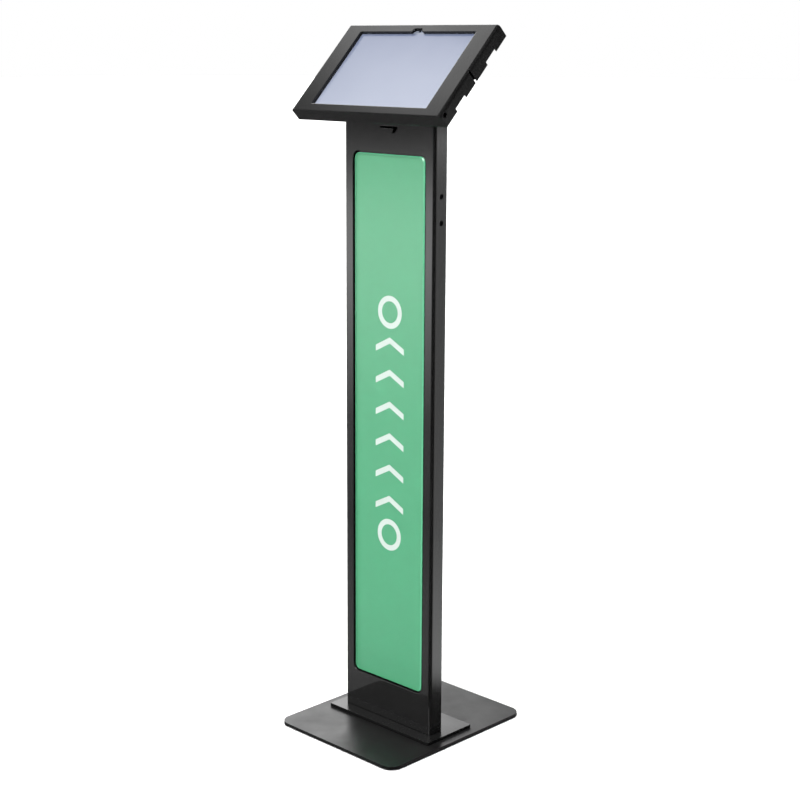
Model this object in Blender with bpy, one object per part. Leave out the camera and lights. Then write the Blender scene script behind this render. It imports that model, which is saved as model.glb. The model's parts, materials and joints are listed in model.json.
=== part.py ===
"""Free-standing touchscreen kiosk: a slim sheet-metal column on a steel base plate,
with a tablet enclosure tilted towards the visitor and a printed panel in the column.

Frame: origin on the floor under the middle of the base plate, +Z up, the visitor
stands on the -Y side and +X is the visitor's right. Lengths are in metres.
The enclosure is modelled flat, in its own frame: X across, Y up its slope and
Z out of the screen, with Z = 0 on its front face. An empty then tilts it.
"""

import math

import bmesh
import bpy
from mathutils import Vector

MM = 0.001
GAP = 0.3 * MM
SHEET = 1.5 * MM

# Base plate, its rubber feet and the column's foot plate
FOOT_RADIUS = 10 * MM
FOOT_HEIGHT = 1.2 * MM
FOOT_X = 104 * MM
FOOT_Y = 128 * MM
BASE_HALF_X = 127.4 * MM
BASE_HALF_Y = 151.1 * MM
BASE_THICKNESS = 5 * MM
BASE_CORNER = 21 * MM
BASE_BOTTOM = FOOT_HEIGHT + GAP
BASE_TOP = BASE_BOTTOM + BASE_THICKNESS
FLANGE_HALF_X = 110.3 * MM
FLANGE_FRONT = -54.2 * MM
FLANGE_BACK = 45.7 * MM
FLANGE_CORNER = 2.5 * MM
FLANGE_BOTTOM = BASE_TOP + GAP
FLANGE_TOP = FLANGE_BOTTOM + 4.6 * MM
BOLT_X = 85 * MM
BOLT_YS = (-40 * MM, 32 * MM)
BOLT_RADIUS = 2.8 * MM
BOLT_HEAD_RADIUS = 5.2 * MM
BOLT_HEAD_HEIGHT = 2.5 * MM
BOLT_SKIN = 0.6 * MM

# Column
COLUMN_HALF_X = 94.4 * MM
COLUMN_FRONT = -32.6 * MM
COLUMN_BACK = -4.0 * MM
COLUMN_MIDDLE = (COLUMN_FRONT + COLUMN_BACK) / 2
COLUMN_CORNER = 5 * MM
COLUMN_BOTTOM = FLANGE_TOP + GAP
COLUMN_BLANK_TOP = 1040 * MM
FRONT_INSIDE = COLUMN_FRONT + SHEET
BACK_INSIDE = COLUMN_BACK - SHEET
SIDE_INSIDE = COLUMN_HALF_X - SHEET
NECK_BOTTOM = 956 * MM
NECK_FRONT = COLUMN_BACK - 6 * MM

# Panel in the column's front
WINDOW_HALF_X = 76.3 * MM
WINDOW_LOW = 74.1 * MM
WINDOW_HIGH = 910.3 * MM
WINDOW_CORNER = 12.2 * MM
PANEL_MARGIN = 3.1 * MM
PANEL_FRONT = COLUMN_FRONT + 0.3 * MM
PANEL_THICKNESS = 3.0 * MM
PANEL_CHAMFER = 1.5 * MM
PRINT_THICKNESS = 0.4 * MM
TRAY_BORDER = 6.4 * MM
TRAY_SHEET = 1.2 * MM
PRINT_FRONT = PANEL_FRONT + PANEL_THICKNESS + GAP
TRAY_FRONT = PRINT_FRONT + PRINT_THICKNESS + GAP
TRAY_BACK = TRAY_FRONT + TRAY_SHEET
CLIP_HEIGHTS = (250 * MM, 750 * MM)
CLIP_LENGTH = 25 * MM
CLIP_SHEET = 1.2 * MM
CLIP_WIDTH = 6 * MM

# Slot and bent tab near the top of the column's front
TAB_HALF_X = 18 * MM
TAB_TOP = 948.5 * MM
TAB_SLOT = 3.2 * MM
TAB_DROP = 10 * MM

# Rear service cover and cable outlet
COVER_HALF_X = 69.5 * MM
COVER_LOW = 65.5 * MM
COVER_HIGH = 929.5 * MM
COVER_MARGIN = 0.5 * MM
TAB_HALF_WIDTH = 10 * MM
TAB_REACH = 12 * MM
TAB_ROOT = 7 * MM
COVER_SCREW_INSET = 6 * MM
COVER_SCREW_RADIUS = 1.7 * MM
COVER_SCREW_HEAD = 3.6 * MM
OUTLET_HEIGHT = 38 * MM
OUTLET_HOLE = 11 * MM
OUTLET_BORE = 7 * MM
GROMMET_FLANGE = 13 * MM
GROMMET_LIP = 1.5 * MM

# Side screws that hold the head's bracket inside the column
SIDE_SCREW_HEIGHTS = (850.3 * MM, 811.6 * MM)
SIDE_HOLE = 4.0 * MM
SIDE_SCREW_HEAD = 3.6 * MM
SIDE_SCREW_SHANK = 2.4 * MM
SIDE_SCREW_HOLE = 2.8 * MM
HEX_SOCKET = 1.6 * MM

# Head: overall size, tilt and front frame
TILT = math.radians(45.5)
HEAD_CENTRE = Vector((0, -26.3 * MM, 1032.0 * MM))
HEAD_HALF_X = 153.5 * MM
HEAD_HALF_Y = 87.4 * MM
HEAD_DEPTH = 22.4 * MM
HEAD_BEND = 4.5 * MM
SCREEN_HALF_X = 118.5 * MM
SCREEN_HALF_Y = 73.8 * MM
SCREEN_CORNER = 1.2 * MM
CAMERA_MOUTH = 12 * MM
CAMERA_TOP = 6.5 * MM
CAMERA_RISE = 6.2 * MM
NOTCH_OFFSET = 44.3 * MM
NOTCH_HALF = 13.25 * MM
NOTCH_DEPTH = 5.2 * MM
PORT_SLOT_Y = -2 * MM
PORT_SLOT_HALF = 1.9 * MM
PORT_SLOT_X = 2.5 * MM

# Back shell of the head
SHELL_HALF_X = 150.6 * MM
SHELL_HALF_Y = 85.1 * MM
SHELL_BACK = 19.4 * MM
SHELL_FLOOR = SHELL_BACK - SHEET
SHELL_RIM = 12.5 * MM
SHELL_CORNER = 4 * MM
CABLE_HOLE_Y = -10 * MM
CABLE_HOLE_RADIUS = 12 * MM
BOSS_RADIUS = 4.5 * MM
BOSS_HEIGHT = 4 * MM

# Hinge on the head's left edge
HINGE_X = -148.5 * MM
HINGE_DEPTH = 22.7 * MM
HINGE_SPOTS = (-70 * MM, 70 * MM)
KNUCKLE_RADIUS = 3 * MM
KNUCKLE_BORE = 1.6 * MM
PIN_RADIUS = 1.3 * MM
KNUCKLE_SPLIT = 4 * MM
KNUCKLE_END = 11 * MM
LEAF_REACH = 14 * MM

# Lock in the front frame's right wall
LOCK_Y = -78.5 * MM
LOCK_DEPTH = 7.0 * MM
LOCK_HOLE = 3.8 * MM
BARREL_RADIUS = 3.5 * MM
BARREL_BORE = 2.6 * MM
BARREL_END_X = 140.0 * MM
PLUG_RADIUS = 2.3 * MM
BARREL_RECESS = 2.0 * MM
PLUG_RECESS = 0.9 * MM
NUT_RADIUS = 4.7 * MM
CAM_THICKNESS = 2.2 * MM
CAM_HALF_WIDTH = 2.5 * MM
CAM_REACH = 9 * MM
CATCH_NEAR = 5.5 * MM
CATCH_FAR = 15 * MM
CATCH_SHEET = 1.2 * MM
CATCH_CLEARANCE = 0.5 * MM

# Tablet and what holds it
TABLET_HALF_X = 127.25 * MM
TABLET_HALF_Y = 83.0 * MM
TABLET_FRONT = 4.6 * MM
TABLET_THICKNESS = 6.5 * MM
TABLET_BACK = TABLET_FRONT + TABLET_THICKNESS
TABLET_CORNER = 9 * MM
GLASS_BORDER = 1.2 * MM
GLASS_THICKNESS = 0.7 * MM
DISPLAY_HALF_X = 118.6 * MM
DISPLAY_HALF_Y = 74.1 * MM
DISPLAY_FRONT = TABLET_FRONT + GLASS_THICKNESS + GAP
DISPLAY_THICKNESS = 1.2 * MM
CAMERA_Y = 79.9 * MM
CAMERA_RADIUS = 1.9 * MM
BUTTON_DEPTH = 8.6 * MM
BUTTON_HALF_THICKNESS = 0.8 * MM
BUTTON_PROUD = 0.6 * MM
BUTTON_LENGTH = 2.0 * MM
BUTTON_TRAVEL = 0.4 * MM
POWER_X = 96 * MM
POWER_HALF = 6 * MM
VOLUME_X = 70 * MM
VOLUME_HALF = 11 * MM
PAD_X = 105 * MM
PAD_Y = 50 * MM
PAD_HALF_LENGTH = 15 * MM
PAD_LIP = 5 * MM
GASKET_FRONT = SHEET + GAP
GASKET_BACK = TABLET_FRONT - GAP
GASKET_HALF_X = 125.5 * MM
GASKET_HALF_Y = 83.2 * MM

# Bracket between the column and the head
PLATE_THICKNESS = 3 * MM
PLATE_FRONT = SHELL_BACK + GAP
PLATE_BACK = PLATE_FRONT + PLATE_THICKNESS
PLATE_LOW = -31 * MM
PLATE_HIGH = 56 * MM
CHEEK_OUTSIDE = SIDE_INSIDE - 1.2 * MM
CHEEK_SHEET = 2 * MM
CHEEK_FRONT = -28.0 * MM
CHEEK_BACK = -8.5 * MM
CHEEK_LOW = 790 * MM
WEB_LOW = 960 * MM
MOUNT_X = 50 * MM
MOUNT_YS = (18 * MM, 48 * MM)
MOUNT_SCREW_RADIUS = 2.0 * MM
MOUNT_SCREW_HOLE = 2.4 * MM
MOUNT_SCREW_HEAD = 3.8 * MM
MOUNT_SCREW_LENGTH = 7.5 * MM

ROUND_SIDES = 20
SMALL_SIDES = 12
CORNER_STEPS = 6


# ---------------------------------------------------------------- shapes

def arc(centre_x, centre_y, radius, start, end, steps):
    """Points along a circular arc, angles in degrees."""
    points = []
    for step in range(steps + 1):
        angle = math.radians(start + (end - start) * step / steps)
        points.append((centre_x + radius * math.cos(angle), centre_y + radius * math.sin(angle)))
    return points


def rounded_rectangle(low_x, low_y, high_x, high_y, radius, steps=CORNER_STEPS):
    """Outline of a rectangle with four round corners, anticlockwise."""
    points = []
    points += arc(high_x - radius, low_y + radius, radius, -90, 0, steps)
    points += arc(high_x - radius, high_y - radius, radius, 0, 90, steps)
    points += arc(low_x + radius, high_y - radius, radius, 90, 180, steps)
    points += arc(low_x + radius, low_y + radius, radius, 180, 270, steps)
    return points


def screen_opening(grow=0.0):
    """Outline of the screen window, with the swept camera notch in its top edge."""
    half_x = SCREEN_HALF_X + grow
    half_y = SCREEN_HALF_Y + grow
    points = rounded_rectangle(-half_x, -half_y, half_x, half_y, SCREEN_CORNER, 3)
    corner_points = 4
    before = points[: 2 * corner_points]
    after = points[2 * corner_points:]
    notch = []
    steps = 6
    for side, order in ((1, range(steps + 1)), (-1, range(steps, -1, -1))):
        for step in order:
            share = step / steps
            x = CAMERA_MOUTH + grow - (CAMERA_MOUTH - CAMERA_TOP) * share
            rise = CAMERA_RISE * (1 - math.cos(math.pi * share)) / 2
            notch.append((side * x, half_y + rise))
    return before + notch + after


def along(axis, first, second, height):
    """Puts an outline's two coordinates and its height on the right axes."""
    if axis == "X":
        return Vector((height, first, second))
    if axis == "Y":
        return Vector((first, height, second))
    return Vector((first, second, height))


def solid_object(mesh_builder):
    """Turns a closed bmesh into an object with outward faces."""
    bmesh.ops.recalc_face_normals(mesh_builder, faces=mesh_builder.faces)
    mesh = bpy.data.meshes.new("blank")
    mesh_builder.to_mesh(mesh)
    mesh_builder.free()
    blank = bpy.data.objects.new("blank", mesh)
    bpy.context.scene.collection.objects.link(blank)
    return blank


def prism(axis, outline, low, high, chamfer=0.0):
    """Extrudes an outline along an axis, with an optional chamfer at its low end."""
    builder = bmesh.new()
    levels = [(low, outline), (high, outline)]
    if chamfer:
        inner = inset(outline, chamfer)
        levels = [(low, inner), (low + chamfer, outline), (high, outline)]
    rings = []
    for height, points in levels:
        rings.append([builder.verts.new(along(axis, x, y, height)) for x, y in points])
    builder.faces.new(rings[0])
    builder.faces.new(rings[-1])
    for lower, upper in zip(rings, rings[1:]):
        for index in range(len(lower)):
            following = (index + 1) % len(lower)
            quad = (lower[index], lower[following], upper[following], upper[index])
            builder.faces.new(quad)
    return solid_object(builder)


def inset(outline, distance):
    """Moves each point of a rectangular rounded outline towards the middle."""
    middle_x = (max(x for x, _ in outline) + min(x for x, _ in outline)) / 2
    middle_y = (max(y for _, y in outline) + min(y for _, y in outline)) / 2
    half_x = max(x for x, _ in outline) - middle_x
    half_y = max(y for _, y in outline) - middle_y
    scale_x = (half_x - distance) / half_x
    scale_y = (half_y - distance) / half_y
    moved = []
    for x, y in outline:
        moved.append((middle_x + (x - middle_x) * scale_x, middle_y + (y - middle_y) * scale_y))
    return moved


def box(low, high):
    """A rectangular block between two corners."""
    outline = [(low[0], low[1]), (high[0], low[1]), (high[0], high[1]), (low[0], high[1])]
    return prism("Z", outline, low[2], high[2])


def cylinder(axis, centre, radius, low, high, sides=ROUND_SIDES):
    """A round bar along an axis, centred on two coordinates of the other axes."""
    outline = arc(centre[0], centre[1], radius, 0, 360, sides)[:-1]
    return prism(axis, outline, low, high)


def hexagon_bar(axis, centre, radius, low, high):
    """A hexagonal bar, for nuts and sockets."""
    return cylinder(axis, centre, radius, low, high, 6)


def turned(axis, centre, profile, sides=ROUND_SIDES):
    """Turns a closed profile of (radius, height) points; radius 0 lies on the axis."""
    builder = bmesh.new()
    rings = []
    for radius, height in profile:
        if radius == 0:
            rings.append([builder.verts.new(along(axis, centre[0], centre[1], height))])
            continue
        circle = arc(centre[0], centre[1], radius, 0, 360, sides)[:-1]
        rings.append([builder.verts.new(along(axis, x, y, height)) for x, y in circle])
    for lower, upper in zip(rings, rings[1:] + rings[:1]):
        if len(lower) == 1 and len(upper) == 1:
            continue
        for index in range(sides):
            following = (index + 1) % sides
            corners = [
                lower[index % len(lower)],
                lower[following % len(lower)],
                upper[following % len(upper)],
                upper[index % len(upper)],
            ]
            builder.faces.new(list(dict.fromkeys(corners)))
    return solid_object(builder)


def combine(part, tool, operation):
    """Cuts a tool out of a part, or joins it on, and throws the tool away."""
    modifier = part.modifiers.new(operation, "BOOLEAN")
    modifier.operation = operation
    modifier.solver = "EXACT"
    modifier.object = tool
    bpy.context.view_layer.update()
    depsgraph = bpy.context.evaluated_depsgraph_get()
    mesh = bpy.data.meshes.new_from_object(part.evaluated_get(depsgraph))
    part.modifiers.clear()
    part.data = mesh
    bpy.data.objects.remove(tool)
    return part


def cut(part, *tools):
    """Takes each tool out of the part."""
    for tool in tools:
        combine(part, tool, "DIFFERENCE")
    return part


def join(part, *tools):
    """Makes one body of the part and each tool."""
    for tool in tools:
        combine(part, tool, "UNION")
    return part


# ---------------------------------------------------------------- materials

def finish(name, colour, roughness, metallic=0.0, **sockets):
    """A Principled material."""
    material = bpy.data.materials.new(name)
    material.use_nodes = True
    shader = material.node_tree.nodes["Principled BSDF"]
    shader.inputs["Base Color"].default_value = (*colour, 1.0)
    shader.inputs["Roughness"].default_value = roughness
    shader.inputs["Metallic"].default_value = metallic
    for socket, value in sockets.items():
        shader.inputs[socket].default_value = value
    material.diffuse_color = (*colour, 1.0)
    return material


def make_materials():
    """Every finish on the kiosk."""
    return {
        "black_powder_coat": finish("black_powder_coat", (0.035, 0.035, 0.036), 0.42),
        "black_gloss_coat": finish("black_gloss_coat", (0.03, 0.03, 0.031), 0.22),
        "black_zinc": finish("black_zinc", (0.04, 0.04, 0.042), 0.35, 1.0),
        "zinc_steel": finish("zinc_steel", (0.55, 0.55, 0.56), 0.35, 1.0),
        "rubber": finish("rubber", (0.02, 0.02, 0.02), 0.8),
        "foam": finish("foam", (0.015, 0.015, 0.016), 0.95),
        "green_print": finish("green_print", (0.16, 0.49, 0.27), 0.5),
        "clear_acrylic": finish("clear_acrylic", (0.9, 1.0, 0.95), 0.05, **{"Transmission Weight": 1.0}),
        "screen_glass": finish("screen_glass", (0.9, 0.92, 0.95), 0.03, **{"Transmission Weight": 1.0}),
        "display_picture": finish("display_picture", (0.45, 0.5, 0.68), 0.3),
        "tablet_graphite": finish("tablet_graphite", (0.09, 0.09, 0.1), 0.38, 0.8),
        "lens_black": finish("lens_black", (0.005, 0.005, 0.008), 0.05),
    }


# ---------------------------------------------------------------- placing

def make_pivot(name, location, parent=None, tilt=0.0):
    """An empty on a joint's axis, or on a sub-assembly's origin."""
    empty = bpy.data.objects.new(name, None)
    bpy.context.scene.collection.objects.link(empty)
    empty.parent = parent
    empty.location = location
    empty.rotation_euler = (tilt, 0, 0)
    return empty


def keep(part, name, material, parent=None):
    """Names a finished part, gives it its material and hangs it on its parent.
    Its mesh is already in the frame that the parent's own parent has."""
    part.name = name
    part.data.name = name
    part.data.materials.clear()
    part.data.materials.append(material)
    part.data.shade_smooth()
    part.data.set_sharp_from_angle(angle=math.radians(35))
    if parent is not None:
        part.parent = parent
        if parent.parent is not None or parent.name == "rear_cover_slide":
            part.location = -parent.location
    return part


# ---------------------------------------------------------------- base

def countersunk_profile(radius, head_radius, low, head_height, high):
    """Half section of a countersunk bolt, head down."""
    return [
        (0, low),
        (head_radius, low),
        (radius, low + head_height),
        (radius, high),
        (0, high),
    ]


def bolt_places():
    """The four bolts between the base plate and the foot plate."""
    return [(side * BOLT_X, y) for side in (-1, 1) for y in BOLT_YS]


def build_base(looks):
    """Base plate, rubber feet, foot plate and the bolts that join them from below."""
    outline = rounded_rectangle(-BASE_HALF_X, -BASE_HALF_Y, BASE_HALF_X, BASE_HALF_Y, BASE_CORNER, 10)
    base = prism("Z", outline, BASE_BOTTOM, BASE_TOP)
    outline = rounded_rectangle(-FLANGE_HALF_X, FLANGE_FRONT, FLANGE_HALF_X, FLANGE_BACK, FLANGE_CORNER, 4)
    flange = prism("Z", outline, FLANGE_BOTTOM, FLANGE_TOP)
    for number, place in enumerate(bolt_places(), 1):
        hole = countersunk_profile(
            BOLT_RADIUS + GAP,
            BOLT_HEAD_RADIUS + GAP,
            BASE_BOTTOM,
            BOLT_HEAD_HEIGHT + GAP,
            FLANGE_TOP - BOLT_SKIN,
        )
        hole[0] = (0, BASE_BOTTOM - MM)
        hole.insert(1, (BOLT_HEAD_RADIUS + GAP, BASE_BOTTOM - MM))
        cut(base, turned("Z", place, hole, SMALL_SIDES))
        cut(flange, turned("Z", place, hole, SMALL_SIDES))
        bolt = turned(
            "Z",
            place,
            countersunk_profile(
                BOLT_RADIUS,
                BOLT_HEAD_RADIUS,
                BASE_BOTTOM + GAP,
                BOLT_HEAD_HEIGHT - GAP,
                FLANGE_TOP - BOLT_SKIN - GAP,
            ),
            SMALL_SIDES,
        )
        socket = hexagon_bar("Z", place, HEX_SOCKET, BASE_BOTTOM, BASE_BOTTOM + 2 * MM)
        keep(cut(bolt, socket), f"foot_bolt_{number}", looks["black_zinc"])
    keep(base, "base_plate", looks["black_gloss_coat"])
    keep(flange, "foot_plate", looks["black_powder_coat"])
    places = [(side_x * FOOT_X, side_y * FOOT_Y) for side_x in (-1, 1) for side_y in (-1, 1)]
    for number, place in enumerate(places, 1):
        foot = cylinder("Z", place, FOOT_RADIUS, 0, FOOT_HEIGHT)
        keep(foot, f"rubber_foot_{number}", looks["rubber"])


# ---------------------------------------------------------------- column

def behind_head(depth, drop=0.0):
    """World (y, z) of the head's centre line at a depth behind its front face."""
    y = HEAD_CENTRE.y + drop * math.cos(TILT) + depth * math.sin(TILT)
    z = HEAD_CENTRE.z + drop * math.sin(TILT) - depth * math.cos(TILT)
    return y, z


def slanted_top_cutter():
    """A wedge that ends the column just below the bracket's plate."""
    reach = 90 * MM
    depth = PLATE_BACK + GAP
    low = behind_head(depth, -reach)
    high = behind_head(depth, reach)
    outline = [low, high, (high[0], high[1] + reach), (low[0], high[1] + reach)]
    return prism("X", outline, -2 * COLUMN_HALF_X, 2 * COLUMN_HALF_X)


def tab_slot_cutter():
    """A slot across the column's front with a slanting end: the cut edge of a bent tab."""
    outline = [
        (-TAB_HALF_X, TAB_TOP),
        (-TAB_HALF_X, TAB_TOP - TAB_SLOT),
        (TAB_HALF_X - TAB_DROP + TAB_SLOT * 0.5, TAB_TOP - TAB_SLOT),
        (TAB_HALF_X - TAB_DROP - TAB_SLOT * 0.5, TAB_TOP - TAB_DROP),
        (TAB_HALF_X - TAB_DROP + TAB_SLOT, TAB_TOP - TAB_DROP),
        (TAB_HALF_X, TAB_TOP - TAB_SLOT),
        (TAB_HALF_X, TAB_TOP),
    ]
    return prism("Y", outline, COLUMN_FRONT - MM, FRONT_INSIDE + MM)


def cover_tab(low, high, root_low, root_high):
    """A joggled tab inside the rear opening that a cover screw goes into."""
    back = BACK_INSIDE - GAP
    tab = box((-TAB_HALF_WIDTH, back - SHEET, low), (TAB_HALF_WIDTH, back, high))
    root = box(
        (-TAB_HALF_WIDTH, back - SHEET, root_low),
        (TAB_HALF_WIDTH, BACK_INSIDE + SHEET / 2, root_high),
    )
    return join(tab, root)


def cover_screw_heights():
    """The lower and the upper cover screw."""
    return COVER_LOW + COVER_SCREW_INSET, COVER_HIGH - COVER_SCREW_INSET


def build_column(looks):
    """The folded column with its window, holes, slanted top and rear opening."""
    outer = rounded_rectangle(-COLUMN_HALF_X, COLUMN_FRONT, COLUMN_HALF_X, COLUMN_BACK, COLUMN_CORNER)
    inner = rounded_rectangle(-SIDE_INSIDE, FRONT_INSIDE, SIDE_INSIDE, BACK_INSIDE, COLUMN_CORNER - SHEET)
    column = prism("Z", outer, COLUMN_BOTTOM, COLUMN_BLANK_TOP)
    cut(column, prism("Z", inner, COLUMN_BOTTOM - MM, COLUMN_BLANK_TOP + MM))
    window = rounded_rectangle(-WINDOW_HALF_X, WINDOW_LOW, WINDOW_HALF_X, WINDOW_HIGH, WINDOW_CORNER)
    cut(column, prism("Y", window, COLUMN_FRONT - MM, FRONT_INSIDE + MM))
    half = COVER_HALF_X + COVER_MARGIN
    low = COVER_LOW - COVER_MARGIN
    high = COVER_HIGH + COVER_MARGIN
    cut(column, box((-half, BACK_INSIDE - MM, low), (half, COLUMN_BACK + MM, high)))
    join(
        column,
        cover_tab(low - TAB_ROOT, low + TAB_REACH, low - TAB_ROOT, low - MM),
        cover_tab(high - TAB_REACH, high + TAB_ROOT, high + MM, high + TAB_ROOT),
    )
    for height in cover_screw_heights():
        hole = cylinder("Y", (0, height), COVER_SCREW_RADIUS + GAP, BACK_INSIDE - 4 * MM, COLUMN_BACK, SMALL_SIDES)
        cut(column, hole)
    neck = box(
        (-2 * COLUMN_HALF_X, NECK_FRONT, NECK_BOTTOM),
        (2 * COLUMN_HALF_X, COLUMN_BACK + MM, COLUMN_BLANK_TOP + MM),
    )
    cut(column, neck, slanted_top_cutter(), tab_slot_cutter())
    cut(column, cylinder("Y", (0, OUTLET_HEIGHT), OUTLET_HOLE, BACK_INSIDE - MM, COLUMN_BACK + MM))
    for height in SIDE_SCREW_HEIGHTS:
        reach = COLUMN_HALF_X + MM
        cut(column, cylinder("X", (COLUMN_MIDDLE, height), SIDE_HOLE, -reach, reach, 16))
    keep(column, "column_shell", looks["black_powder_coat"])


def build_panel(looks):
    """Clear cover, printed insert, the tray behind them and its clips."""
    half = WINDOW_HALF_X - PANEL_MARGIN
    low = WINDOW_LOW + PANEL_MARGIN
    high = WINDOW_HIGH - PANEL_MARGIN
    outline = rounded_rectangle(-half, low, half, high, WINDOW_CORNER - PANEL_MARGIN)
    cover = prism("Y", outline, PANEL_FRONT, PANEL_FRONT + PANEL_THICKNESS, PANEL_CHAMFER)
    keep(cover, "clear_cover", looks["clear_acrylic"])
    print_sheet = prism("Y", outline, PRINT_FRONT, PRINT_FRONT + PRINT_THICKNESS)
    keep(print_sheet, "printed_insert", looks["green_print"])

    half = WINDOW_HALF_X + TRAY_BORDER
    low = WINDOW_LOW - TRAY_BORDER
    high = WINDOW_HIGH + TRAY_BORDER
    outline = rounded_rectangle(-half, low, half, high, WINDOW_CORNER, 4)
    tray = prism("Y", outline, FRONT_INSIDE + GAP, TRAY_BACK)
    hollow = rounded_rectangle(
        -half + TRAY_SHEET, low + TRAY_SHEET, half - TRAY_SHEET, high - TRAY_SHEET, WINDOW_CORNER - TRAY_SHEET, 4
    )
    cut(tray, prism("Y", hollow, FRONT_INSIDE - MM, TRAY_FRONT))
    keep(tray, "insert_tray", looks["black_powder_coat"])

    number = 0
    for side in (-1, 1):
        for height in CLIP_HEIGHTS:
            number += 1
            near = side * (half + GAP)
            far = side * (half + GAP + CLIP_WIDTH)
            over = side * (half - CLIP_WIDTH)
            hook = TRAY_BACK + GAP
            outline = [
                (near, FRONT_INSIDE + GAP),
                (far, FRONT_INSIDE + GAP),
                (far, hook + CLIP_SHEET),
                (over, hook + CLIP_SHEET),
                (over, hook),
                (near, hook),
            ]
            clip = prism("Z", outline, height - CLIP_LENGTH / 2, height + CLIP_LENGTH / 2)
            keep(clip, f"insert_clip_{number}", looks["zinc_steel"])


def build_rear_cover(looks):
    """Flush service cover in the column's back, with its two captive screws."""
    pivot = make_pivot("rear_cover_slide", (0, COLUMN_BACK, (COVER_LOW + COVER_HIGH) / 2))
    outline = rounded_rectangle(-COVER_HALF_X, COVER_LOW, COVER_HALF_X, COVER_HIGH, 0.3 * MM, 1)
    cover = prism("Y", outline, BACK_INSIDE, COLUMN_BACK)
    names = ("cover_screw_bottom", "cover_screw_top")
    for name, height in zip(names, cover_screw_heights()):
        place = (0, height)
        cut(cover, cylinder("Y", place, COVER_SCREW_RADIUS + GAP, BACK_INSIDE - MM, COLUMN_BACK + MM, SMALL_SIDES))
        head = COLUMN_BACK + GAP
        profile = [
            (0, BACK_INSIDE - 4 * MM),
            (COVER_SCREW_RADIUS, BACK_INSIDE - 4 * MM),
            (COVER_SCREW_RADIUS, head),
            (COVER_SCREW_HEAD, head),
            (COVER_SCREW_HEAD, head + 1.2 * MM),
            (COVER_SCREW_HEAD - 0.8 * MM, head + 2.0 * MM),
            (0, head + 2.0 * MM),
        ]
        screw = turned("Y", place, profile, 16)
        socket = hexagon_bar("Y", place, HEX_SOCKET, head + 0.8 * MM, head + 3 * MM)
        keep(cut(screw, socket), name, looks["black_zinc"], pivot)
    keep(cover, "rear_cover", looks["black_powder_coat"], pivot)


def build_outlet(looks):
    """Rubber grommet in the cable outlet at the foot of the column's back."""
    inner_face = BACK_INSIDE - GAP
    outer_face = COLUMN_BACK + GAP
    neck = OUTLET_HOLE - GAP
    profile = [
        (OUTLET_BORE, inner_face - GROMMET_LIP),
        (GROMMET_FLANGE, inner_face - GROMMET_LIP),
        (GROMMET_FLANGE, inner_face),
        (neck, inner_face),
        (neck, outer_face),
        (GROMMET_FLANGE, outer_face),
        (GROMMET_FLANGE - 0.6 * MM, outer_face + GROMMET_LIP),
        (OUTLET_BORE, outer_face + GROMMET_LIP),
    ]
    grommet = turned("Y", (0, OUTLET_HEIGHT), profile)
    keep(grommet, "cable_grommet", looks["rubber"])


def build_cable_clips(looks):
    """Saddles on the back of the tray that hold the charging lead in the column."""
    centre_x = 40 * MM
    outside = 4.5 * MM
    inside = 3.3 * MM
    mouth = 30
    for number, height in enumerate((330 * MM, 660 * MM), 1):
        centre_y = TRAY_BACK + GAP + outside
        outline = arc(centre_x, centre_y, outside, 90 - mouth, -270 + mouth, 14)
        outline += arc(centre_x, centre_y, inside, -270 + mouth, 90 - mouth, 14)
        clip = prism("Z", outline, height - 5 * MM, height + 5 * MM)
        keep(clip, f"cable_clip_{number}", looks["rubber"])


# ---------------------------------------------------------------- bracket

def cheek(side):
    """One side of the bracket: a strip inside the column and a web under the plate."""
    low_y, low_z = behind_head(PLATE_BACK - MM, PLATE_LOW + 4 * MM)
    high_y, high_z = behind_head(PLATE_BACK - MM, PLATE_HIGH - 2 * MM)
    tip_y, tip_z = behind_head(PLATE_BACK + 5 * MM, PLATE_HIGH - 2 * MM)
    front_top = low_z + (CHEEK_FRONT - low_y) * math.tan(TILT)
    outline = [
        (CHEEK_FRONT, CHEEK_LOW),
        (CHEEK_BACK, CHEEK_LOW),
        (CHEEK_BACK, WEB_LOW),
        (COLUMN_BACK, WEB_LOW + 4 * MM),
        (tip_y, tip_z),
        (high_y, high_z),
        (CHEEK_FRONT, front_top),
    ]
    inner = side * (CHEEK_OUTSIDE - CHEEK_SHEET)
    outer = side * CHEEK_OUTSIDE
    return prism("X", outline, min(inner, outer), max(inner, outer))


def tilted_box(low, high):
    """A block given in the head's own frame, as a prism along X in the world."""
    corners = [(low[1], low[2]), (high[1], low[2]), (high[1], high[2]), (low[1], high[2])]
    outline = [behind_head(-z, y) for y, z in corners]
    return prism("X", outline, low[0], high[0])


def tilted_cylinder(place, radius, front, back, sides=ROUND_SIDES):
    """A round bar square to the screen, placed in the head's own frame."""
    bar = cylinder("Z", place, radius, -back, -front, sides)
    for vertex in bar.data.vertices:
        y, z = behind_head(-vertex.co.z, vertex.co.y)
        vertex.co.y = y
        vertex.co.z = z
    return bar


def mount_places():
    """The four screws between the bracket's plate and the back shell."""
    return [(side * MOUNT_X, y) for side in (-1, 1) for y in MOUNT_YS]


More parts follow.
